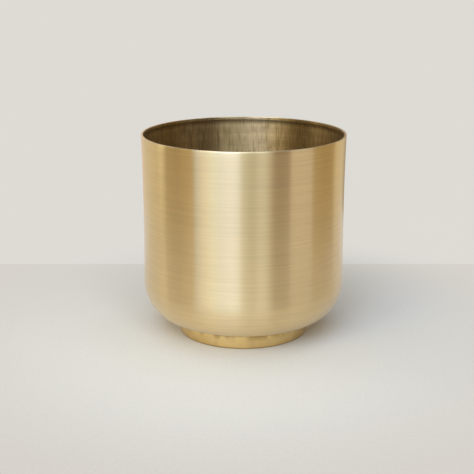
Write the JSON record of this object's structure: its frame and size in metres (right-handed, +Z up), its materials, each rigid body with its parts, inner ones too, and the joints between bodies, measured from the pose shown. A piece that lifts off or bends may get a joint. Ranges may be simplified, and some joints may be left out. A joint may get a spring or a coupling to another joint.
{
  "type": "planter pot",
  "caption": "Round brass planter pot: straight bowl with a hemmed rim and a rounded shoulder, on a low foot ring.",
  "frame": {"origin": "on the pot's axis, at the centre of the foot ring's underside", "axes": "+Z up along the pot's axis, towards the mouth; the pot is the same all the way round"},
  "size_m": [0.203, 0.203, 0.203],
  "materials": {
    "bowl_brass": "fine brushing round the axis, satin, clear lacquer",
    "foot_brass": "polished, a little yellower than the bowl",
    "braze_metal": "dull braze alloy, lightly cleaned up"
  },
  "bodies": {
    "root": {"bowl": "bowl_brass", "foot_ring": "foot_brass", "braze_outer": "braze_metal", "braze_inner": "braze_metal"}
  },
  "joints": []
}
